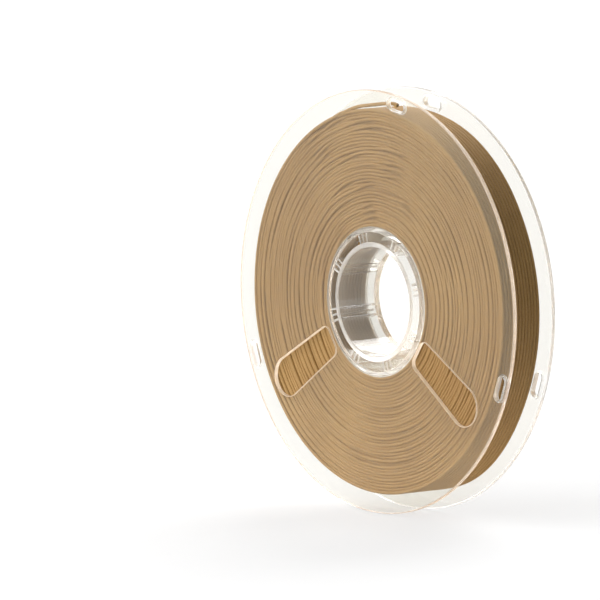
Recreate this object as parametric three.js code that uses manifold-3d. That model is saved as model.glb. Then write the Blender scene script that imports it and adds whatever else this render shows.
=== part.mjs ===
// A slim reel of 1.75 mm printing filament, in millimetres, +Z up. The reel turns about +Y. Its origin is
// the centre of the hub bore, half way between the two flange faces. The front flange faces -Y.
// The reel is two clear mouldings that push together at the hub, and one strand wound between them:
// the front half carries a flange and the hub barrel, and the rear half a flange and the bore tube.
import * as THREE from "three";
import { mergeVertices } from "three/addons/utils/BufferGeometryUtils.js";
import Module from "manifold-3d";

const wasm = await Module();
wasm.setup();

// Reel
const FLANGE_R = 100;
const FLANGE_T = 2;
const WIDTH = 25.5;
const FIT_GAP = 0.3; // between pieces that touch or slide
const SEGMENTS = 96; // sides of every turned surface, with flats at the lowest and highest points

// Hub: the barrel that the strand is wound on, and the tube that the holder's spindle goes through
const BARREL_R = 35;
const BARREL_WALL = 2;
const BORE_R = 26;
const BORE_WALL = 2.3;
const KEY_COUNT = 8;
const KEY_FIRST_DEG = 16;
const KEY_T = 1;
const RIB_SPREAD_DEG = 5; // each key slides between two ribs, this far to each side of it
const KEY_SETBACK = 1; // keys and ribs start this far inside the front face

// Windows in both flanges, in a frame with u along the radius and v across it
const WINDOW_DEGS = [212.6, 325.8];
const WINDOW_INNER_U = 37.2;
const WINDOW_ROUND_U = 76.8; // centre of the round outer end
const WINDOW_INNER_HALF = 7.6;
const WINDOW_OUTER_HALF = 9.4;
const WINDOW_CORNER_R = 3.5;

// Slots near the rim that hold the strand's loose end, each with a lip on the inner face
const SLOT_DEGS = [80, 200, 340];
const SLOT_R = 95;
const SLOT_LENGTH = 12;
const SLOT_WIDTH = 4.5;
const LIP_WIDTH = 1;
const LIP_HEIGHT = 0.8;

// Strand
const STRAND_D = 1.75;
const WINDING_R = 91.1;
const WINDING_CORNER = 0.7;
const ANCHOR_DEG = 128.5;
const ANCHOR_HOLE_R = 1.2;
const ANCHOR_Y = -4;
const ANCHOR_INNER_R = 31.4;

const CLEAR = { color: 0xe9eceb, roughness: 0.12, metalness: 0, transparent: true, opacity: 0.4 };
const TAN = { color: 0xa5875f, roughness: 0.7, metalness: 0 };

const rad = THREE.MathUtils.degToRad;
const innerFace = WIDTH / 2 - FLANGE_T; // distance of each flange's inner face from the middle
const strandR = STRAND_D / 2;
const flatToCorner = 1 / Math.cos(Math.PI / SEGMENTS); // corner radius over flat radius

// A closed geometry as a manifold-3d solid.
function solid(geometry) {
  const bare = geometry.clone();
  bare.deleteAttribute("normal");
  bare.deleteAttribute("uv");
  const merged = mergeVertices(bare, 1e-4);
  const mesh = new wasm.Mesh({
    numProp: 3,
    vertProperties: new Float32Array(merged.attributes.position.array),
    triVerts: new Uint32Array(merged.index.array),
  });
  return new wasm.Manifold(mesh);
}

// A manifold-3d solid as a BufferGeometry.
function geometryOf(manifold) {
  const { vertProperties, triVerts } = manifold.getMesh();
  const geometry = new THREE.BufferGeometry();
  geometry.setAttribute("position", new THREE.BufferAttribute(vertProperties, 3));
  geometry.setIndex(new THREE.BufferAttribute(triVerts, 1));
  geometry.computeVertexNormals();
  return geometry;
}

function join(solids) {
  return solids.reduce((whole, next) => whole.add(next));
}

// Corners of a regular polygon whose flats are at the given radius.
function circlePoints(radius, sides = SEGMENTS) {
  const corner = radius / Math.cos(Math.PI / sides);
  const points = [];
  for (let i = 0; i < sides; i += 1) {
    const angle = ((i + 0.5) * 2 * Math.PI) / sides;
    points.push(new THREE.Vector2(corner * Math.cos(angle), corner * Math.sin(angle)));
  }
  return points;
}

// An outline in the X-Z plane, with holes, made solid between two Y values.
function plate(outline, holes, fromY, toY) {
  const shape = new THREE.Shape(outline);
  shape.holes = holes.map((points) => new THREE.Path(points));
  const geometry = new THREE.ExtrudeGeometry(shape, { depth: toY - fromY, bevelEnabled: false });
  geometry.rotateX(Math.PI / 2);
  geometry.translate(0, toY, 0);
  return solid(geometry);
}

function ring(outerR, innerR, fromY, toY) {
  return plate(circlePoints(outerR), [circlePoints(innerR)], fromY, toY);
}

// Points of a path drawn along the +X radius, turned to the given angle.
function turned(path, degrees, divisions) {
  const angle = rad(degrees);
  const points = path.getPoints(divisions);
  points.pop();
  return points.map((point) => point.rotateAround(new THREE.Vector2(), angle));
}

// A long window that widens outwards, with a straight inner end and a round outer end.
function windowOutline(degrees) {
  const r = WINDOW_CORNER_R;
  const u0 = WINDOW_INNER_U;
  const w0 = WINDOW_INNER_HALF;
  const path = new THREE.Path();
  path.moveTo(u0 + r, -w0);
  path.lineTo(WINDOW_ROUND_U, -WINDOW_OUTER_HALF);
  path.absarc(WINDOW_ROUND_U, 0, WINDOW_OUTER_HALF, -Math.PI / 2, Math.PI / 2, false);
  path.lineTo(u0 + r, w0);
  path.absarc(u0 + r, w0 - r, r, Math.PI / 2, Math.PI, false);
  path.lineTo(u0, r - w0);
  path.absarc(u0 + r, r - w0, r, Math.PI, 1.5 * Math.PI, false);
  return turned(path, degrees, 12);
}

// A slot with round ends that runs along the rim, grown outwards by a margin.
function slotOutline(degrees, margin = 0) {
  const r = SLOT_WIDTH / 2 + margin;
  const half = (SLOT_LENGTH - SLOT_WIDTH) / 2;
  const path = new THREE.Path();
  path.moveTo(SLOT_R + r, -half);
  path.lineTo(SLOT_R + r, half);
  path.absarc(SLOT_R, half, r, 0, Math.PI, false);
  path.lineTo(SLOT_R - r, -half);
  path.absarc(SLOT_R, -half, r, Math.PI, 2 * Math.PI, false);
  return turned(path, degrees, 8);
}

// The lip round one slot. side is -1 on the front flange and 1 on the rear one.
function slotLip(degrees, side) {
  const root = side * (innerFace + FLANGE_T / 2);
  const top = side * (innerFace - LIP_HEIGHT);
  const from = Math.min(root, top);
  const to = Math.max(root, top);
  return plate(slotOutline(degrees, LIP_WIDTH), [slotOutline(degrees)], from, to);
}

// A straight rib along the hub, at an angle, between two radii and two Y values.
function hubRib(degrees, fromR, toR, fromY, toY) {
  const geometry = new THREE.BoxGeometry(toR - fromR, toY - fromY, KEY_T);
  geometry.translate((fromR + toR) / 2, (fromY + toY) / 2, 0);
  geometry.rotateY(-rad(degrees));
  return solid(geometry);
}

const keyDegs = Array.from({ length: KEY_COUNT }, (_, i) => KEY_FIRST_DEG + (i * 360) / KEY_COUNT);
const keyStartY = -WIDTH / 2 + KEY_SETBACK;

// A flange between two Y values: a disc with a centre hole, the two windows and the three slots.
function flange(centreR, fromY, toY) {
  const windows = WINDOW_DEGS.map((degrees) => windowOutline(degrees));
  const slots = SLOT_DEGS.map((degrees) => slotOutline(degrees));
  return plate(circlePoints(FLANGE_R), [circlePoints(centreR), ...windows, ...slots], fromY, toY);
}

// Front moulding: flange, hub barrel, and eight keys inside the barrel.
function frontHalf() {
  const barrelInner = BARREL_R - BARREL_WALL;
  const disc = flange(barrelInner, -WIDTH / 2, -innerFace);
  const lips = SLOT_DEGS.map((degrees) => slotLip(degrees, -1));
  const barrel = ring(BARREL_R, barrelInner, -WIDTH / 2, innerFace - FIT_GAP);
  const keyTip = BORE_R + BORE_WALL + FIT_GAP;
  const keyRoot = BARREL_R - BARREL_WALL / 2;
  const keyEndY = innerFace - KEY_SETBACK;
  const keys = keyDegs.map((degrees) => hubRib(degrees, keyTip, keyRoot, keyStartY, keyEndY));
  return join([disc, barrel, ...lips, ...keys]).subtract(anchorHole());
}

// Hole through the barrel wall that the strand's inner end is pushed into.
function anchorHole() {
  const length = 3 * BARREL_WALL;
  const geometry = new THREE.CylinderGeometry(ANCHOR_HOLE_R, ANCHOR_HOLE_R, length, 16);
  placeAtAnchor(geometry, BARREL_R - BARREL_WALL / 2);
  return solid(geometry);
}

// Turns a shape on the +Y axis so that it lies along the anchor's radius, centred at radius r.
function placeAtAnchor(geometry, r) {
  geometry.rotateZ(-Math.PI / 2);
  geometry.translate(r, ANCHOR_Y, 0);
  geometry.rotateY(-rad(ANCHOR_DEG));
}

// Rear moulding: flange, bore tube, and sixteen ribs that take the keys between them.
function rearHalf() {
  const disc = flange(BORE_R, innerFace, WIDTH / 2);
  const lips = SLOT_DEGS.map((degrees) => slotLip(degrees, 1));
  const tube = ring(BORE_R + BORE_WALL, BORE_R, -WIDTH / 2, WIDTH / 2);
  const ribRoot = BORE_R + BORE_WALL / 2;
  const ribTip = BARREL_R - BARREL_WALL - FIT_GAP;
  const ribEndY = innerFace + FLANGE_T / 2;
  const ribs = [];
  keyDegs.forEach((degrees) => {
    [-RIB_SPREAD_DEG, RIB_SPREAD_DEG].forEach((spread) => {
      ribs.push(hubRib(degrees + spread, ribRoot, ribTip, keyStartY, ribEndY));
    });
  });
  return join([disc, tube, ...lips, ...ribs]);
}

// The wound strand as one ring that fills the space between barrel and flanges.
function filamentWinding() {
  const innerR = (BARREL_R + FIT_GAP) * flatToCorner;
  const outerR = WINDING_R * flatToCorner;
  const sideY = innerFace - FIT_GAP;
  const c = WINDING_CORNER;
  const profile = [
    [innerR, -sideY],
    [outerR - c, -sideY],
    [outerR, c - sideY],
    [outerR, sideY - c],
    [outerR - c, sideY],
    [innerR, sideY],
    [innerR, -sideY],
  ].map(([r, y]) => new THREE.Vector2(r, y));
  return new THREE.LatheGeometry(profile, SEGMENTS, Math.PI / SEGMENTS);
}

// The first few millimetres of the strand, bent through the barrel wall.
function filamentInnerEnd() {
  const length = BARREL_R - ANCHOR_INNER_R;
  const geometry = new THREE.CylinderGeometry(strandR, strandR, length, 10);
  placeAtAnchor(geometry, ANCHOR_INNER_R + length / 2);
  return geometry;
}

// The strand's outer end: it lifts off the winding and turns out through the top slot of the front flange.
function filamentOuterEnd() {
  const lie = WINDING_R + FIT_GAP + strandR;
  const slotDeg = SLOT_DEGS[0];
  const faceY = -WIDTH / 2;
  const route = [
    { ahead: 30, r: lie, y: innerFace - 17 },
    { ahead: 24, r: lie, y: innerFace - 17.4 },
    { ahead: 18, r: lie + 0.1, y: innerFace - 17.9 },
    { ahead: 12, r: lie + 0.7, y: innerFace - 18.4 },
    { ahead: 7, r: SLOT_R - 1, y: innerFace - 19 },
    { ahead: 3, r: SLOT_R - 0.3, y: innerFace - 20 },
    { ahead: 0.8, r: SLOT_R, y: faceY + 2.6 },
    { ahead: 0.2, r: SLOT_R, y: faceY + 1.4 },
    { ahead: 0.1, r: SLOT_R, y: faceY + 0.3 },
  ].map(({ ahead, r, y }) => {
    const angle = rad(slotDeg + ahead);
    return new THREE.Vector3(r * Math.cos(angle), y, r * Math.sin(angle));
  });
  const section = new THREE.Shape(circlePoints(strandR, 10));
  return new THREE.ExtrudeGeometry(section, {
    steps: 30,
    bevelEnabled: false,
    extrudePath: new THREE.CatmullRomCurve3(route),
  });
}

const reel = new THREE.Group();
reel.name = "filament_reel";

function addPiece(name, geometry, look) {
  const mesh = new THREE.Mesh(geometry, new THREE.MeshStandardMaterial(look));
  mesh.name = name;
  reel.add(mesh);
}

addPiece("front_half", geometryOf(frontHalf()), CLEAR);
addPiece("rear_half", geometryOf(rearHalf()), CLEAR);
addPiece("filament_winding", filamentWinding(), TAN);
addPiece("filament_inner_end", filamentInnerEnd(), TAN);
addPiece("filament_outer_end", filamentOuterEnd(), TAN);

export default reel;
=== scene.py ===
# A slim clear reel of tan printing filament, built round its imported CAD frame. Lengths are in metres;
# a length written with MM is in millimetres. The reel's axis is Y and its front flange faces -Y.
import math

import bmesh
import bpy
import numpy as np
from mathutils import Matrix, Vector, noise


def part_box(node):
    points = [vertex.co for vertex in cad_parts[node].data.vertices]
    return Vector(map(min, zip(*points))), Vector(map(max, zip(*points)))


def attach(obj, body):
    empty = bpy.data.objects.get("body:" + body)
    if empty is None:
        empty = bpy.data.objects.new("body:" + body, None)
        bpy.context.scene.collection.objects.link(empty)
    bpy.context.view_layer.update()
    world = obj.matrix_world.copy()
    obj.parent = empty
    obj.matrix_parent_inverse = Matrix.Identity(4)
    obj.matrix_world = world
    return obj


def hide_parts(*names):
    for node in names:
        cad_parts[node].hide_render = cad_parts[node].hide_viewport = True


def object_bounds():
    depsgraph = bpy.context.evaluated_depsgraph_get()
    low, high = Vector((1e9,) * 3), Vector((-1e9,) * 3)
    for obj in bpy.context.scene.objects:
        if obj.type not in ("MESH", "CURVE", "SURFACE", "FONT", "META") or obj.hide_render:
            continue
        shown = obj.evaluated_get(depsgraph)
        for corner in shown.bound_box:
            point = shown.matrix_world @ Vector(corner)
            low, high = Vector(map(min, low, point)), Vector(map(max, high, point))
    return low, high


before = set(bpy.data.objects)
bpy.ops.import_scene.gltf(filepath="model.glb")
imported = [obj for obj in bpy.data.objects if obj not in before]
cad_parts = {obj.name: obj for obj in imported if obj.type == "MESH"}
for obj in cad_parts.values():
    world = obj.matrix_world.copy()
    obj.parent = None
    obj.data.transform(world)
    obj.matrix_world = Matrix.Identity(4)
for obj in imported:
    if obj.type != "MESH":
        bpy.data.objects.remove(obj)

MM = 0.001
TAU = 2 * math.pi
cad_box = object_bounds()

# Sizes read from the frame
half_width = cad_box[1].y
flange_r = cad_box[1].x
winding_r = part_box("filament_winding")[1].x
floor_z = cad_box[0].z

# Sizes shared with the CAD part
FLANGE_T = 2 * MM
FIT_GAP = 0.3 * MM
BARREL_R = 35 * MM
BARREL_WALL = 2 * MM
BORE_R = 26 * MM
BORE_WALL = 2.3 * MM
KEY_COUNT = 8
KEY_FIRST_DEG = 16
KEY_T = 1 * MM
KEY_SETBACK = 1 * MM
RIB_SPREAD_DEG = 5
WINDOW_DEGS = (212.6, 325.8)
WINDOW_INNER_U = 37.2 * MM
WINDOW_ROUND_U = 76.8 * MM
WINDOW_INNER_HALF = 7.6 * MM
WINDOW_OUTER_HALF = 9.4 * MM
WINDOW_CORNER_R = 3.5 * MM
WINDOW_SPLAY_DEG = 3
SLOT_DEGS = (80, 200, 340)
SLOT_R = 95 * MM
SLOT_LENGTH = 12 * MM
SLOT_WIDTH = 4.5 * MM
LIP_WIDTH = 1 * MM
LIP_HEIGHT = 0.8 * MM
STRAND_R = 0.875 * MM
ANCHOR_DEG = 128.5
ANCHOR_HOLE_R = 1.2 * MM
ANCHOR_Y = -4 * MM
ANCHOR_INNER_R = 31.4 * MM
ANCHOR_OUTER_R = BARREL_R - 0.1 * MM

# Edges and steps of the mouldings
EDGE_R = 0.35 * MM
RIM_R = 0.55 * MM
ROOT_R = 0.6 * MM
SUPPORT = 0.04 * MM  # distance of the edge loops that hold a flat or round wall true beside a fillet
CUT_BEYOND = 1 * MM  # how far a cutter sticks out
TURNED_STEPS = 384
FILLET_STEPS = 4
WINDOW_END_STEPS = 32
WINDOW_CORNER_STEPS = 10
SLOT_END_STEPS = 14
HOLE_STEPS = 24
SHARP_DEG = 32

# Finishes of a moulding, by their places in its list of materials
FACE, EDGE, HUB, RIM, HUB_END, WINDOW = range(6)
FLAT_ALONG = 0.9999  # a flat face's normal has at least this much along the reel's axis
WALL_ALONG = 0.01  # and the normal of a wall of the hub at most this much
WINDOW_REACH = WINDOW_ROUND_U + WINDOW_OUTER_HALF + 1 * MM  # the windows end before this radius

# The wound strand
LAYERS = 37
TURNS_PER_LAYER = 12
CORE_INSET = 1.6 * MM  # how far inside the winding's outer surfaces the ring of unseen turns starts
STEPS_PER_TURN = 220
CURVE_STEPS = 8  # between two knots of one of the strand's ends
STRAND_SIDES = 8
LAST_LAYER_SIDES = 12
INNER_END_SIDES = 16

# Turns against a flange
BAND_DEG = 92  # middle of the zone where the turns at the front flange climb to the next layer
BAND_JITTER_DEG = 60
BUNCH_MORE = 1.3  # how much more the turns bunch at BAND_DEG, by either flange
BUNCH_SPREAD_DEG = 60
CROSS_DEG = 18  # over which a turn climbs to the next layer or dives out of sight
SWELL = 0.4 * MM  # how far bunched turns stray from an even spacing
NEST = 0.52 * STRAND_R  # how far back every second turn nests between its neighbours
NEST_CONTRAST = 1.8
UNEVEN = 0.2 * MM  # how unevenly the turns lie against the flange
SUNK = 0.6 * MM  # how far back a turn lies where it doesn't reach the flange
SUNK_CONTRAST = 4
SUNK_THRESHOLD = 0.9
DIVE = 1.5 * MM  # how far back a turn's two ends go

# The first and the last layer
STEP_DEG = 24  # over which a turn of a layer steps over to the next
STEP_JITTER_DEG = 6
STEP_NOISE_SCALE = 0.7
PLAY = 0.07 * MM  # how far a turn strays from its place
TUCK = 1.9 * MM  # how far a layer's end dives out of sight
FIRST_LAYER_SALT = 8.8
LAST_LAYER_SALT = 2.4

# Smooth noises round the winding: how fast one changes round it and from layer to layer, and a salt
START_NOISE = (0, 0.83, 3.1)
SPACING_NOISE = (2.4, 0.21, 7.7)
NEST_NOISE = (1.3, 0.13, 1.3)
UNEVEN_NOISE = (1.7, 5.3, 5.2)
SUNK_NOISE = (0.9, 3.7, 9.4)
SIDEWAYS_NOISE = (4, 3.7, 0)
HEIGHT_NOISE = (3, 2.9, 4)

# How the last turns stand off the pile at the right (+X), most by the rear flange
STAND_OFF = 0.8 * MM
STAND_OFF_END_DEG = 84  # up and down from the +X side
STAND_OFF_FADE_DEG = 24
BULGE = 1.1 * MM  # added round two places, above and below the +X side
BULGE_LEAN = 0.7 * MM  # taken from the upper place and added to the lower one, by the sine of its angle
BULGE_DEG = 54
BULGE_SPREAD_DEG = 30

# The loose end leaves the last layer, climbs over a slot's lip and goes out through the slot
LIFT_DEG = 30  # how far before its slot it leaves the layer
LIFT_STEPS = 12  # of the layer's end that set the direction in which it leaves
lie_r = winding_r - STRAND_R
LOOSE_ROUTE = (  # degrees before the slot, radius, y
    (24, lie_r + 0.8 * MM, -9.65 * MM),
    (18, lie_r + 1.9 * MM, -9.5 * MM),
    (12, lie_r + 2.5 * MM, -9.1 * MM),
    (7, 93.8 * MM, -8.3 * MM),
    (3, 94.7 * MM, -9.25 * MM),
    (0.8, SLOT_R, -10.15 * MM),
    (0.2, SLOT_R, -11.35 * MM),
    (0.1, SLOT_R, -12.3 * MM),
)

# Materials. A stop of a colour ramp is its place and its colour.
SPECKS = ((0.30, (0.32, 0.182, 0.062)), (0.52, (0.45, 0.267, 0.094)), (0.74, (0.54, 0.342, 0.136)))
PATCHES = ((0.3, (0.86, 0.83, 0.80)), (0.7, (1.0, 1.0, 1.0)))
# Painted shade: the ring of unseen deeper turns is this much darker, for the shade in the gaps between
# turns
DEEP_PAINTED_SHADE = 0.8
FILAMENT_IOR = 1.46
PLASTIC_IOR = 1.54
PLASTIC_TINT = (0.955, 0.965, 0.95)
# The milk's cream colour is partly painted light: its warmth stands for light bounced into the plastic from
# the tan filament
MILK_WITH_PAINTED_WARMTH = (0.98, 0.92, 0.84)
MILK_THROUGH = 0.6  # share of the scattered light that leaves on the far side
HAZE_UNEVEN = 0.3  # share by which the haze varies from place to place

# Camera
CAMERA_AZIMUTH = 49.87
CAMERA_ELEVATION = 6.81
CAMERA_ROLL = -0.43
CAMERA_DISTANCE = 3.017
CAMERA_LENS_MM = 384.3
CAMERA_CLIP_END = 40
CAMERA_AIM_LEFT = 0.0444  # the reel stands right of the picture's middle

# Studio: white to the camera, and darker in what lights the reel
FLOOR_HALF = 9
FLOOR_LIT = 0.37  # the floor to the camera: its share of the lamps' light, and its own light
FLOOR_GLOW = 0.54
MIRROR_NEAR = 0.3  # the floor as the clear plastic mirrors it, brighter with distance
MIRROR_FAR = 0.85
MIRROR_FROM = 0.8
MIRROR_TO = 6
POOL_NEAR = 1.0  # the floor as it lights the reel, fading with distance
POOL_FAR = 0.04
POOL_FROM = 0.12
POOL_TO = 0.6
WORLD_SEEN = 1.0  # the world at the horizon and overhead, and between which heights it fades
WORLD_ABOVE = 0.4
WORLD_FADE_FROM = 0.1
WORLD_FADE_TO = 0.6
WORLD_FILL = 0.05  # what it adds to the reel's light
LIGHTS = (  # name, direction that it comes from, strength, apparent size in degrees
    ("front_light", (-0.35, -1.0, 0.6), 3.05, 75),
    ("back_light", (-0.5, 0.95, 0.85), 2.4, 45),
    ("left_light", (-1.0, -0.12, 0.5), 1.9, 60),
)

# Sizes that follow
inner_face = half_width - FLANGE_T
barrel_inner_r = BARREL_R - BARREL_WALL
tube_r = BORE_R + BORE_WALL
key_degs = [KEY_FIRST_DEG + i * 360 / KEY_COUNT for i in range(KEY_COUNT)]
key_start = KEY_SETBACK - half_width
layer_first_r = BARREL_R + FIT_GAP + STRAND_R
layer_pitch = (lie_r - layer_first_r) / (LAYERS - 1)
lay_y = inner_face - FIT_GAP / 2 - STRAND_R  # a turn that touches the flange


# ---------------------------------------------------------------- mesh helpers


def new_object(name, vertices, faces):
    """A mesh object whose faces all point outwards."""
    mesh = bpy.data.meshes.new(name)
    mesh.from_pydata([tuple(v) for v in vertices], [], [tuple(f) for f in faces])
    grid = bmesh.new()
    grid.from_mesh(mesh)
    bmesh.ops.recalc_face_normals(grid, faces=grid.faces)
    grid.to_mesh(mesh)
    grid.free()
    made = bpy.data.objects.new(name, mesh)
    bpy.context.scene.collection.objects.link(made)
    return made


def polar(degrees, radius, y):
    angle = math.radians(degrees)
    return Vector((radius * math.cos(angle), y, radius * math.sin(angle)))


def rounded_profile(corners):
    """Points of a closed outline in (r, y). Each corner is (r, y, fillet radius)."""
    points = []
    for i, (r, y, fillet) in enumerate(corners):
        here = np.array((r, y))
        before = np.array(corners[i - 1][:2]) - here
        after = np.array(corners[(i + 1) % len(corners)][:2]) - here
        before /= np.linalg.norm(before)
        after /= np.linalg.norm(after)
        centre = here + fillet * (before + after)
        points.append(here + before * (fillet + SUPPORT))
        for step in range(FILLET_STEPS + 1):
            angle = step / FILLET_STEPS * math.pi / 2
            points.append(centre - fillet * (after * math.cos(angle) + before * math.sin(angle)))
        points.append(here + after * (fillet + SUPPORT))
    return points


def turned_ring(name, corners):
    """A closed ring about the reel's axis with the given rounded profile."""
    profile = rounded_profile(corners)
    count = len(profile)
    vertices = []
    for step in range(TURNED_STEPS):
        angle = step * TAU / TURNED_STEPS
        for r, y in profile:
            vertices.append((r * math.cos(angle), y, r * math.sin(angle)))
    faces = []
    for step in range(TURNED_STEPS):
        this = step * count
        following = (step + 1) % TURNED_STEPS * count
        for j in range(count):
            k = (j + 1) % count
            faces.append((this + j, following + j, following + k, this + k))
    return new_object(name, vertices, faces)


def stacked(name, loops):
    """A closed solid through loops of points with equal counts, capped at both ends."""
    count = len(loops[0])
    vertices = [point for loop in loops for point in loop]
    faces = [tuple(range(count)), tuple(range((len(loops) - 1) * count, len(loops) * count))]
    for level in range(len(loops) - 1):
        low = level * count
        high = low + count
        for j in range(count):
            k = (j + 1) % count
            faces.append((low + j, low + k, high + k, high + j))
    return new_object(name, vertices, faces)


def tube(name, path, sides):
    """The strand along a list of points."""
    return tubes(name, [path], sides)


def tubes(name, paths, sides):
    """The strand along several lists of points, each stretch capped at both ends."""
    vertices = []
    faces = []
    for path in paths:
        points = np.array(path)
        tangents = np.gradient(points, axis=0)
        tangents /= np.linalg.norm(tangents, axis=1)[:, None]
        side = np.cross(tangents[0], (0, 1, 0))
        start = len(vertices)
        for point, tangent in zip(points, tangents):
            side = side - tangent * (side @ tangent)
            side /= np.linalg.norm(side)
            other = np.cross(tangent, side)
            for j in range(sides):
                angle = (j + 0.5) * TAU / sides
                vertices.append(point + STRAND_R * (math.cos(angle) * side + math.sin(angle) * other))
        last = len(points) - 1
        for i in range(last):
            low = start + i * sides
            for j in range(sides):
                k = (j + 1) % sides
                faces.append((low + j, low + k, low + sides + k, low + sides + j))
        for cap in (start, start + last * sides):
            faces.append(tuple(range(cap, cap + sides)))
    made = new_object(name, vertices, faces)
    for face in made.data.polygons:
        face.use_smooth = len(face.vertices) == 4
    return made


def combine(target, tool, operation):
    """Joins the tool to the target or cuts it away, and removes the tool."""
    modifier = target.modifiers.new("combine", "BOOLEAN")
    modifier.object = tool
    modifier.operation = operation
    modifier.solver = "MANIFOLD"
    graph = bpy.context.evaluated_depsgraph_get()
    mesh = bpy.data.meshes.new_from_object(target.evaluated_get(graph))
    target.modifiers.clear()
    target.data = mesh
    bpy.data.objects.remove(tool)


# ---------------------------------------------------------------- outlines in the flange plane


def arc(centre_u, centre_v, radius, from_deg, to_deg, steps):
    angles = np.radians(np.linspace(from_deg, to_deg, steps + 1))
    return [(centre_u + radius * math.cos(a), centre_v + radius * math.sin(a)) for a in angles]


def window_outline(margin):
    """The window along the +X radius, grown outwards by a margin."""
    half = WINDOW_INNER_HALF + margin
    r = WINDOW_CORNER_R + margin
    corner_u = WINDOW_INNER_U - margin + r
    end_deg = 90 - WINDOW_SPLAY_DEG
    points = arc(WINDOW_ROUND_U, 0, WINDOW_OUTER_HALF + margin, -end_deg, end_deg, WINDOW_END_STEPS)
    points += arc(corner_u, half - r, r, 90, 180, WINDOW_CORNER_STEPS)
    points += arc(corner_u, r - half, r, 180, 270, WINDOW_CORNER_STEPS)
    return points


def slot_outline(margin):
    """The slot across the +X radius, grown outwards by a margin."""
    r = SLOT_WIDTH / 2 + margin
    half = (SLOT_LENGTH - SLOT_WIDTH) / 2
    far_end = arc(SLOT_R, half, r, 0, 180, SLOT_END_STEPS)
    return far_end + arc(SLOT_R, -half, r, 180, 360, SLOT_END_STEPS)


def at_angle(outline, degrees, y):
    """The outline turned about the reel's axis, at a y."""
    angle = math.radians(degrees)
    c = math.cos(angle)
    s = math.sin(angle)
    return [(u * c - v * s, y, u * s + v * c) for u, v in outline]


# ---------------------------------------------------------------- the two clear mouldings


def flare(low, high, margin):
    """Stations (y, margin) of a cutter between two faces that leaves rounded edges at both."""
    stations = [(low - CUT_BEYOND, margin)]
    for step in range(FILLET_STEPS + 1):
        angle = step / FILLET_STEPS * math.pi / 2
        stations.append((low + margin * (1 - math.cos(angle)), margin * (1 - math.sin(angle))))
    stations.append((low + margin + SUPPORT, 0))
    mirrored = [(low + high - y, m) for y, m in reversed(stations)]
    return stations + mirrored


def cutter(outline, degrees, low, high):
    return stacked("cutter", [at_angle(outline(m), degrees, y) for y, m in flare(low, high, EDGE_R)])


def slot_lip(degrees, side):
    """The raised lip round a slot on the flange's inner face; its slot is cut later."""
    top = inner_face - LIP_HEIGHT
    root = inner_face + FLANGE_T / 2
    stations = [(root, LIP_WIDTH)]
    for step in range(FILLET_STEPS + 1):
        angle = step / FILLET_STEPS * math.pi / 2
        stations.append((top + EDGE_R * (1 - math.sin(angle)), LIP_WIDTH - EDGE_R * (1 - math.cos(angle))))
    return stacked("lip", [at_angle(slot_outline(m), degrees, side * y) for y, m in stations])


def open_flange(target, side):
    """Adds the slot lips on the inner face and cuts windows and slots through the flange."""
    for degrees in SLOT_DEGS:
        combine(target, slot_lip(degrees, side), "UNION")
    outer = side * half_width
    inner = side * inner_face
    lip = side * (inner_face - LIP_HEIGHT)
    for degrees in WINDOW_DEGS:
        combine(target, cutter(window_outline, degrees, *sorted((outer, inner))), "DIFFERENCE")
    for degrees in SLOT_DEGS:
        combine(target, cutter(slot_outline, degrees, *sorted((outer, lip))), "DIFFERENCE")


def hub_rib(degrees, from_r, to_r, to_y):
    """A straight rib along the hub, from its root to its tip, with softened edges at the tip."""
    soft = KEY_T / 5
    half = KEY_T / 2
    shoulder = to_r - math.copysign(soft, to_r - from_r)
    section = [
        (from_r, -half), (shoulder, -half), (to_r, soft - half),
        (to_r, half - soft), (shoulder, half), (from_r, half),
    ]
    return stacked("rib", [at_angle(section, degrees, y) for y in (key_start, to_y)])


def anchor_hole():
    """A cutter for the hole in the barrel's wall that the strand's inner end goes through."""
    reach = 3 * BARREL_WALL
    middle = polar(ANCHOR_DEG, BARREL_R - BARREL_WALL / 2, ANCHOR_Y)
    outward = polar(ANCHOR_DEG, 1, 0)
    across = polar(ANCHOR_DEG + 90, 1, 0)
    ring = arc(0, 0, ANCHOR_HOLE_R, 0, 360 - 360 / HOLE_STEPS, HOLE_STEPS - 1)
    loops = []
    for along in (-reach / 2, reach / 2):
        loops.append([middle + outward * along + across * u + Vector((0, v, 0)) for u, v in ring])
    return stacked("cutter", loops)


def finish_moulding(target, finishes):
    """Keeps flat faces exactly flat and round ones smooth, and gives each face its finish."""
    mesh = target.data
    mesh.materials.clear()
    for material in finishes:
        mesh.materials.append(material)
    mesh.set_sharp_from_angle(angle=math.radians(SHARP_DEG))
    for face in mesh.polygons:
        flat = abs(face.normal.y) > FLAT_ALONG
        wall = abs(face.normal.y) < WALL_ALONG
        corners = [mesh.vertices[i].co for i in face.vertices]
        reach = max(math.hypot(corner.x, corner.z) for corner in corners)
        face.use_smooth = not flat
        if reach < BARREL_R + ROOT_R + SUPPORT:
            face.material_index = HUB if wall else HUB_END
        elif flat:
            face.material_index = FACE
        elif reach > flange_r - RIM_R:
            face.material_index = RIM
        else:
            face.material_index = EDGE if reach > WINDOW_REACH else WINDOW


def make_front_half(finishes):
    barrel_end = inner_face - FIT_GAP
    made = turned_ring("clear_front_half", [
        (barrel_inner_r, -half_width, EDGE_R),
        (flange_r, -half_width, RIM_R),
        (flange_r, -inner_face, RIM_R),
        (BARREL_R, -inner_face, ROOT_R),
        (BARREL_R, barrel_end, EDGE_R),
        (barrel_inner_r, barrel_end, EDGE_R),
    ])
    key_root = BARREL_R - BARREL_WALL / 2
    for degrees in key_degs:
        key = hub_rib(degrees, key_root, tube_r + FIT_GAP, inner_face - KEY_SETBACK)
        combine(made, key, "UNION")
    open_flange(made, -1)
    combine(made, anchor_hole(), "DIFFERENCE")
    finish_moulding(made, finishes)
    return made


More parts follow.
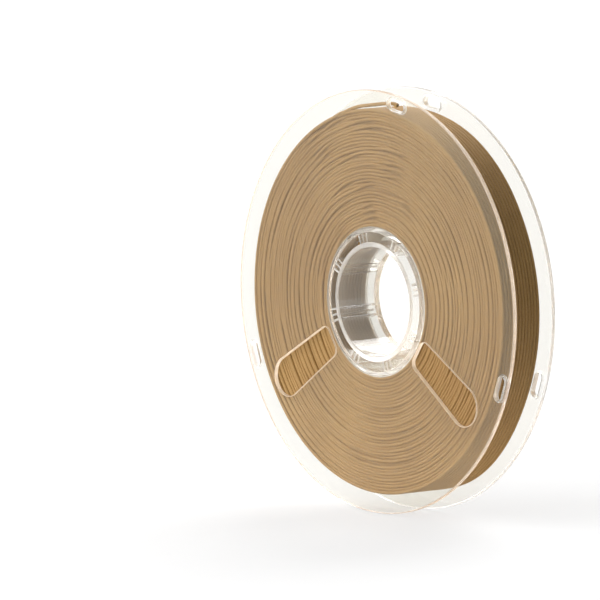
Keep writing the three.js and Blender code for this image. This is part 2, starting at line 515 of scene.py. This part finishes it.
def make_rear_half(finishes):
    made = turned_ring("clear_rear_half", [
        (BORE_R, -half_width, EDGE_R),
        (tube_r, -half_width, EDGE_R),
        (tube_r, inner_face, ROOT_R),
        (flange_r, inner_face, RIM_R),
        (flange_r, half_width, RIM_R),
        (BORE_R, half_width, EDGE_R),
    ])
    rib_root = BORE_R + BORE_WALL / 2
    rib_end = inner_face + FLANGE_T / 2
    for degrees in key_degs:
        for spread in (-RIB_SPREAD_DEG, RIB_SPREAD_DEG):
            rib = hub_rib(degrees + spread, rib_root, barrel_inner_r - FIT_GAP, rib_end)
            combine(made, rib, "UNION")
    open_flange(made, 1)
    finish_moulding(made, finishes)
    return made


# ---------------------------------------------------------------- the wound strand


def wander(degrees, layer, kind, more_salt=0):
    """Smooth noise from -1 to 1 round the winding, of one of the kinds above."""
    around, drift, salt = kind
    salt += more_salt
    angle = math.radians(degrees)
    u = around * math.cos(angle)
    v = around * math.sin(angle)
    return noise.noise((u + salt, v - salt, layer * drift + salt))


def ease(x):
    """A smooth step from 0 to 1."""
    x = min(max(x, 0), 1)
    return x * x * (3 - 2 * x)


def wrapped(degrees):
    """The same direction, from -180 to 180."""
    return (degrees + 180) % 360 - 180


def catmull(p0, p1, p2, p3, t):
    """A point between p1 and p2 on the smooth curve through all four."""
    return 0.5 * (2 * p1 + (p2 - p0) * t + (2 * p0 - 5 * p1 + 4 * p2 - p3) * t * t
                  + (3 * p1 - p0 - 3 * p2 + p3) * t ** 3)


def side_turn_radius(degrees, layer):
    """A turn's radius. The turns bunch most at BAND_DEG, and not at all by the barrel and the outside."""
    radius = layer_first_r + layer * layer_pitch
    edge = math.sin(math.pi * min(layer / LAYERS, 1)) ** 0.5
    bunched = 1 + BUNCH_MORE * ease(1 - abs(wrapped(degrees - BAND_DEG)) / BUNCH_SPREAD_DEG)
    return radius + edge * bunched * SWELL * wander(degrees, layer, SPACING_NOISE)


def side_turn_inset(degrees, layer, side):
    """How far a turn lies back from the flange: every second one nests, and some sink in places."""
    odd = layer % 2 if layer % 2 <= 1 else 2 - layer % 2
    swap = ease(0.5 + NEST_CONTRAST * wander(degrees, layer, NEST_NOISE, side))
    inset = NEST * abs(odd - swap)
    inset += UNEVEN * (1 + wander(degrees, layer, UNEVEN_NOISE))
    return inset + SUNK * ease(SUNK_CONTRAST * wander(degrees, layer, SUNK_NOISE) - SUNK_THRESHOLD)


def side_turn_path(layer, side):
    """Two turns against one flange: the strand comes out of the stack, climbs a layer, and goes back in."""
    start = BAND_DEG * (1 if side < 0 else -1) + BAND_JITTER_DEG * wander(0, layer, START_NOISE, side)
    total = 720 + CROSS_DEG / 2
    steps = int(total / 360 * STEPS_PER_TURN)
    path = []
    for i in range(steps + 1):
        gone = total * i / steps
        degrees = start - gone
        here = layer + ease((gone - 360 + CROSS_DEG / 2) / CROSS_DEG)
        dive = max(1 - gone / CROSS_DEG, 1 - (total - gone) / CROSS_DEG, 0)
        inset = side_turn_inset(degrees, here, side) + DIVE * ease(dive)
        path.append(polar(degrees, side_turn_radius(degrees, here), side * (lay_y - inset)))
    return path


def make_side_turns(name, side):
    paths = [side_turn_path(layer, side) for layer in range(0, LAYERS - 2, 2)]
    return tubes(name, paths, STRAND_SIDES)


def standing_off(degrees, y):
    """How far the last turns stand off the pile at the right, most by the rear flange."""
    from_right = wrapped(degrees)
    rear = (y + lay_y) / (2 * lay_y)
    all_right = STAND_OFF * ease((STAND_OFF_END_DEG - abs(from_right)) / STAND_OFF_FADE_DEG)
    bulge = BULGE - BULGE_LEAN * math.sin(math.radians(from_right))
    bulge *= ease(1 - abs(abs(from_right) - BULGE_DEG) / BULGE_SPREAD_DEG)
    return (all_right + bulge) * rear


def layer_path(radius, end_deg, salt, tuck_start, tuck_end, stands_off=False):
    """One whole layer of turns side by side, stepping over to the next in a short zone of every turn."""
    pitch = 2 * lay_y / (TURNS_PER_LAYER - 1)
    total = 360 * TURNS_PER_LAYER
    steps = TURNS_PER_LAYER * STEPS_PER_TURN
    step_middles = []
    for turn in range(1, TURNS_PER_LAYER):
        step_middles.append(360 * turn + STEP_JITTER_DEG * noise.noise((turn * STEP_NOISE_SCALE, salt, 0)))
    path = []
    for i in range(steps + 1):
        gone = total * i / steps
        degrees = end_deg + total - gone
        stepped = sum(ease((gone - middle) / STEP_DEG + 0.5) for middle in step_middles)
        y = lay_y - pitch * stepped + PLAY * wander(degrees, stepped, SIDEWAYS_NOISE, salt)
        lie = radius - PLAY * (1 + wander(degrees, stepped, HEIGHT_NOISE, salt))
        lie += tuck_start * ease(1 - gone / CROSS_DEG) + tuck_end * ease(1 - (total - gone) / CROSS_DEG)
        if stands_off:
            lie += standing_off(degrees, y)
        path.append(polar(degrees, lie, y))
    return path


def make_first_layer():
    path = layer_path(layer_first_r, ANCHOR_DEG, FIRST_LAYER_SALT, TUCK, TUCK)
    return tube("strand_first_layer", path, STRAND_SIDES)


def make_last_layer():
    """The last layer with the loose end, which goes out through the first slot."""
    exit_deg = SLOT_DEGS[0]
    path = layer_path(lie_r, exit_deg + LIFT_DEG, LAST_LAYER_SALT, -TUCK, 0, stands_off=True)
    knots = [path[-LIFT_STEPS], path[-1]] + [polar(exit_deg + before, r, y) for before, r, y in LOOSE_ROUTE]
    knots.append(knots[-1])
    for p0, p1, p2, p3 in zip(knots, knots[1:], knots[2:], knots[3:]):
        path += [catmull(p0, p1, p2, p3, step / CURVE_STEPS) for step in range(1, CURVE_STEPS + 1)]
    return tube("strand_last_layer", path, LAST_LAYER_SIDES)


def make_core():
    """The turns deeper than those in view, as one ring."""
    side_y = inner_face - CORE_INSET
    bottom_r = layer_first_r + STRAND_R / 2
    top_r = winding_r - CORE_INSET
    return turned_ring("strand_inner_turns", [
        (bottom_r, -side_y, EDGE_R),
        (top_r, -side_y, EDGE_R),
        (top_r, side_y, EDGE_R),
        (bottom_r, side_y, EDGE_R),
    ])


def make_inner_end():
    """The strand's first millimetres, in the hole in the barrel's wall."""
    inside = polar(ANCHOR_DEG, ANCHOR_INNER_R, ANCHOR_Y)
    outside = polar(ANCHOR_DEG, ANCHOR_OUTER_R, ANCHOR_Y)
    path = [inside.lerp(outside, step / CURVE_STEPS) for step in range(CURVE_STEPS + 1)]
    return tube("strand_inner_end", path, INNER_END_SIDES)


# ---------------------------------------------------------------- materials


class Nodes:
    """A short way to write a material's nodes."""

    def __init__(self, name):
        self.material = bpy.data.materials.new(name)
        self.material.use_nodes = True
        self.tree = self.material.node_tree
        self.tree.nodes.clear()
        self.out = self.add("OutputMaterial")
        self.coords = self.add("TexCoord").outputs["Object"]

    def add(self, kind, values=(), links=(), **settings):
        node = self.tree.nodes.new("ShaderNode" + kind)
        for key, value in settings.items():
            setattr(node, key, value)
        for key, value in dict(values).items():
            node.inputs[key].default_value = value
        for key, source in dict(links).items():
            self.link(source, node.inputs[key])
        return node

    def link(self, source, target):
        self.tree.links.new(source, target)

    def finish(self, shader):
        self.link(shader.outputs[0], self.out.inputs["Surface"])
        return self.material

    def grain(self, scale, detail=3.0, roughness=0.5):
        values = {"Scale": scale, "Detail": detail, "Roughness": roughness}
        return self.add("TexNoise", values, {"Vector": self.coords}).outputs["Fac"]

    def ramp(self, source, stops):
        node = self.add("ValToRGB", links={"Fac": source})
        elements = node.color_ramp.elements
        while len(elements) < len(stops):
            elements.new(0.5)
        for element, (place, colour) in zip(elements, stops):
            element.position = place
            element.color = (*colour, 1)
        return node.outputs["Color"]

    def spread(self, source, low, high):
        """A 0-1 value mapped to a range."""
        node = self.add("MapRange", {"To Min": low, "To Max": high}, {"Value": source})
        return node.outputs["Result"]

    def fade(self, source, from_low, from_high, low, high):
        """A value mapped smoothly from one range to another."""
        values = {"From Min": from_low, "From Max": from_high, "To Min": low, "To Max": high}
        node = self.add("MapRange", values, {"Value": source}, interpolation_type="SMOOTHSTEP")
        return node.outputs["Result"]

    def bump(self, height, distance, strength):
        node = self.add("Bump", {"Distance": distance, "Strength": strength}, {"Height": height})
        return node.outputs["Normal"]

    def blend(self, fac, first, second):
        """A mix of two shaders by a share, which is a number or a socket."""
        node = self.add("MixShader")
        if isinstance(fac, float):
            node.inputs["Fac"].default_value = fac
        else:
            self.link(fac, node.inputs["Fac"])
        self.link(first.outputs[0], node.inputs[1])
        self.link(second.outputs[0], node.inputs[2])
        return node


def filament_material(name, shade):
    """Wood-filled plastic: fine specks, slow patches and a dull, slightly rough surface."""
    n = Nodes(name)
    speckle = n.grain(scale=2600, detail=4, roughness=0.65)
    drift = n.grain(scale=26, detail=2)
    # A shade below 1 darkens every colour of the filament: painted shade
    fine = n.ramp(speckle, [(place, [c * shade for c in colour]) for place, colour in SPECKS])
    mixed = n.add("Mix", {"Factor": 1.0}, data_type="RGBA", blend_type="MULTIPLY")
    n.link(fine, mixed.inputs["A"])
    n.link(n.ramp(drift, PATCHES), mixed.inputs["B"])
    shader = n.add("BsdfPrincipled", {"IOR": FILAMENT_IOR, "Specular IOR Level": 0.35})
    n.link(mixed.outputs["Result"], shader.inputs["Base Color"])
    n.link(n.spread(speckle, 0.5, 0.78), shader.inputs["Roughness"])
    n.link(n.bump(speckle, distance=0.05 * MM, strength=0.6), shader.inputs["Normal"])
    return n.finish(shader)


def clear_material(name, roughness, haze, passed, plastic_and_painted_bounce_tint=PLASTIC_TINT, milk_and_painted_bounce_tint=MILK_WITH_PAINTED_WARMTH):
    """Clear polystyrene with some milky scatter. It lets a share of the lamps' light straight through. A
    warm tint of the plastic or of its milk is painted light: the glow of the tan filament bounced into the
    plastic.
    """
    n = Nodes(name)
    flow = n.grain(scale=38, detail=2, roughness=0.4)
    fine = n.grain(scale=900, detail=3, roughness=0.6)
    clear = n.add("BsdfPrincipled", {
        "Base Color": (*plastic_and_painted_bounce_tint, 1),
        "IOR": PLASTIC_IOR,
        "Transmission Weight": 1.0,
    })
    n.link(n.spread(fine, *roughness), clear.inputs["Roughness"])
    n.link(n.bump(flow, distance=0.5 * MM, strength=0.12), clear.inputs["Normal"])
    front = n.add("BsdfDiffuse", {"Color": (*milk_and_painted_bounce_tint, 1)})
    back = n.add("BsdfTranslucent", {"Color": (*milk_and_painted_bounce_tint, 1)})
    milk = n.blend(MILK_THROUGH, front, back)
    hazy = n.blend(n.spread(fine, haze * (1 - HAZE_UNEVEN), haze * (1 + HAZE_UNEVEN)), clear, milk)
    path = n.add("LightPath")
    lighting = n.add("Math", operation="MAXIMUM", use_clamp=True)
    n.link(path.outputs["Is Shadow Ray"], lighting.inputs[0])
    n.link(path.outputs["Diffuse Depth"], lighting.inputs[1])
    passing = n.add("BsdfTransparent", {"Color": (passed, passed, passed, 1)})
    return n.finish(n.blend(lighting.outputs[0], hazy, passing))


def floor_material():
    """Pale to the camera. To the reel it is a pool of light that fades with distance."""
    n = Nodes("floor")
    path = n.add("LightPath")
    diffuse = path.outputs["Diffuse Depth"]
    glossy = path.outputs["Glossy Depth"]
    unseen = n.add("Math", links={0: diffuse, 1: glossy}, operation="MAXIMUM", use_clamp=True)
    away = n.add("VectorMath", links={0: n.coords}, operation="LENGTH").outputs["Value"]
    mirror = n.fade(away, MIRROR_FROM, MIRROR_TO, MIRROR_NEAR, MIRROR_FAR)
    mirrored = n.add("Mix", {"A": FLOOR_LIT}, {"Factor": glossy, "B": mirror}).outputs["Result"]
    pool = n.fade(away, POOL_FROM, POOL_TO, POOL_NEAR, POOL_FAR)
    shade = n.add("Mix", links={"Factor": diffuse, "A": mirrored, "B": pool}).outputs["Result"]
    shader = n.add("BsdfPrincipled", {"Specular IOR Level": 0.2, "Emission Color": (1, 1, 1, 1)})
    n.link(shade, shader.inputs["Base Color"])
    n.link(n.spread(unseen.outputs[0], FLOOR_GLOW, 0), shader.inputs["Emission Strength"])
    n.link(n.spread(n.grain(scale=60, detail=2), 0.8, 0.95), shader.inputs["Roughness"])
    return n.finish(shader)


# ---------------------------------------------------------------- studio


def make_camera():
    """Aims at the reel, then turns aside so that it stands right of the picture's middle."""
    azimuth = math.radians(CAMERA_AZIMUTH)
    elevation = math.radians(CAMERA_ELEVATION)
    flat = math.cos(elevation)
    back = Vector((math.sin(azimuth) * flat, -math.cos(azimuth) * flat, math.sin(elevation)))
    right = Vector((math.cos(azimuth), math.sin(azimuth), 0))
    up = back.cross(right)
    level = Matrix((right, up, back)).transposed()
    level = level @ Matrix.Rotation(math.radians(CAMERA_ROLL), 3, "Z")
    place = back * CAMERA_DISTANCE
    turn = Matrix.Rotation(math.atan2(CAMERA_AIM_LEFT, CAMERA_DISTANCE), 3, level @ Vector((0, 1, 0)))
    data = bpy.data.cameras.new("camera")
    data.lens = CAMERA_LENS_MM
    data.clip_end = CAMERA_CLIP_END
    camera = bpy.data.objects.new("camera", data)
    bpy.context.scene.collection.objects.link(camera)
    camera.matrix_world = Matrix.Translation(place) @ (turn @ level).to_4x4()
    bpy.context.scene.camera = camera


def make_floor():
    mesh = bpy.data.meshes.new("floor")
    corners = [(-1, -1), (1, -1), (1, 1), (-1, 1)]
    mesh.from_pydata([(x * FLOOR_HALF, y * FLOOR_HALF, floor_z) for x, y in corners], [], [(0, 1, 2, 3)])
    made = bpy.data.objects.new("floor", mesh)
    bpy.context.scene.collection.objects.link(made)
    made.data.materials.append(floor_material())


def make_world():
    """White round the horizon and grey overhead, which draws the outline of clear edges."""
    world = bpy.data.worlds.new("studio")
    bpy.context.scene.world = world
    world.use_nodes = True
    tree = world.node_tree
    direction = tree.nodes.new("ShaderNodeTexCoord").outputs["Generated"]
    height = tree.nodes.new("ShaderNodeSeparateXYZ")
    tree.links.new(direction, height.inputs[0])
    shade = tree.nodes.new("ShaderNodeMapRange")
    shade.inputs["From Min"].default_value = WORLD_FADE_FROM
    shade.inputs["From Max"].default_value = WORLD_FADE_TO
    shade.inputs["To Min"].default_value = WORLD_SEEN
    shade.inputs["To Max"].default_value = WORLD_ABOVE
    tree.links.new(height.outputs["Z"], shade.inputs["Value"])
    path = tree.nodes.new("ShaderNodeLightPath")
    strength = tree.nodes.new("ShaderNodeMix")
    strength.inputs["B"].default_value = WORLD_FILL
    tree.links.new(path.outputs["Diffuse Depth"], strength.inputs["Factor"])
    tree.links.new(shade.outputs["Result"], strength.inputs["A"])
    background = tree.nodes["Background"]
    background.inputs["Color"].default_value = (1, 1, 1, 1)
    tree.links.new(strength.outputs["Result"], background.inputs["Strength"])


def make_sun(name, direction, strength, spread_deg):
    """A distant soft light from a direction, even over the whole floor."""
    data = bpy.data.lights.new(name, "SUN")
    data.energy = strength
    data.angle = math.radians(spread_deg)
    sun = bpy.data.objects.new(name, data)
    bpy.context.scene.collection.objects.link(sun)
    sun.rotation_mode = "QUATERNION"
    sun.rotation_quaternion = (-Vector(direction)).to_track_quat("-Z", "Y")


# ---------------------------------------------------------------- the whole


def dress(made, body, slot_name, *nodes):
    """Ties a piece to its body and hides the CAD nodes that it stands for. Its slot name is not used."""
    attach(made, body)
    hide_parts(*nodes)


def wound(made, material, *nodes):
    """Finishes a piece of the strand."""
    made.data.materials.append(material)
    dress(made, "front_half", "filament", *nodes)


make_camera()

filament = filament_material("filament", 1.0)
# The deeper turns' filament, darkened by painted shade
filament_painted_shade = filament_material("filament_painted_shade", DEEP_PAINTED_SHADE)
# The face's orange milk is painted light: a warm veil for the filament's light scattered back through the
# flange
clear_face = clear_material("clear_face", (0.015, 0.04), 0.04, 0.97, milk_and_painted_bounce_tint=(0.92, 0.73, 0.44))
clear_edge = clear_material("clear_edge", (0.25, 0.45), 0.12, 0.6)
# The window walls' tan tint and milk are painted light: the tan filament's glow reflected and scattered in
# the cut walls
clear_window = clear_material("clear_window", (0.35, 0.6), 0.6, 0.6, (0.86, 0.66, 0.45), (0.98, 0.83, 0.66))
clear_hub_end = clear_material("clear_hub_end", (0.15, 0.3), 0.45, 0.6)
# The front rim's warm milk is painted light from the tan winding behind it; the rear rim keeps a near-white
# milk
clear_front_rim = clear_material("clear_front_rim", (0.06, 0.14), 0.55, 0.6, milk_and_painted_bounce_tint=(0.97, 0.8, 0.66))
clear_rear_rim = clear_material("clear_rear_rim", (0.06, 0.14), 0.5, 0.6, milk_and_painted_bounce_tint=(0.95, 0.93, 0.91))
# The hub's warm milk is painted light: the winding's brown seen and scattered through the hub walls
clear_hub = clear_material("clear_hub", (0.03, 0.1), 0.1, 0.9, milk_and_painted_bounce_tint=(0.96, 0.82, 0.66))
front_finishes = (clear_face, clear_edge, clear_hub, clear_front_rim, clear_hub_end, clear_window)
rear_finishes = (clear_face, clear_edge, clear_hub, clear_rear_rim, clear_hub_end, clear_window)

dress(make_front_half(front_finishes), "front_half", "clear_plastic", "front_half")
dress(make_rear_half(rear_finishes), "rear_half", "clear_plastic", "rear_half")
wound(make_side_turns("strand_front_turns", -1), filament, "filament_winding")
wound(make_side_turns("strand_rear_turns", 1), filament, "filament_winding")
wound(make_first_layer(), filament, "filament_winding")
wound(make_last_layer(), filament, "filament_winding", "filament_outer_end")
# The core gets the filament darkened by painted shade
wound(make_core(), filament_painted_shade, "filament_winding")
wound(make_inner_end(), filament, "filament_inner_end")

make_floor()
make_world()
for light in LIGHTS:
    make_sun(*light)

# Clear plastic carries light along inside it by many reflections
cycles = bpy.context.scene.cycles
cycles.max_bounces = 32
cycles.glossy_bounces = 24
cycles.transmission_bounces = 24

bpy.context.scene.view_settings.view_transform = "Standard"
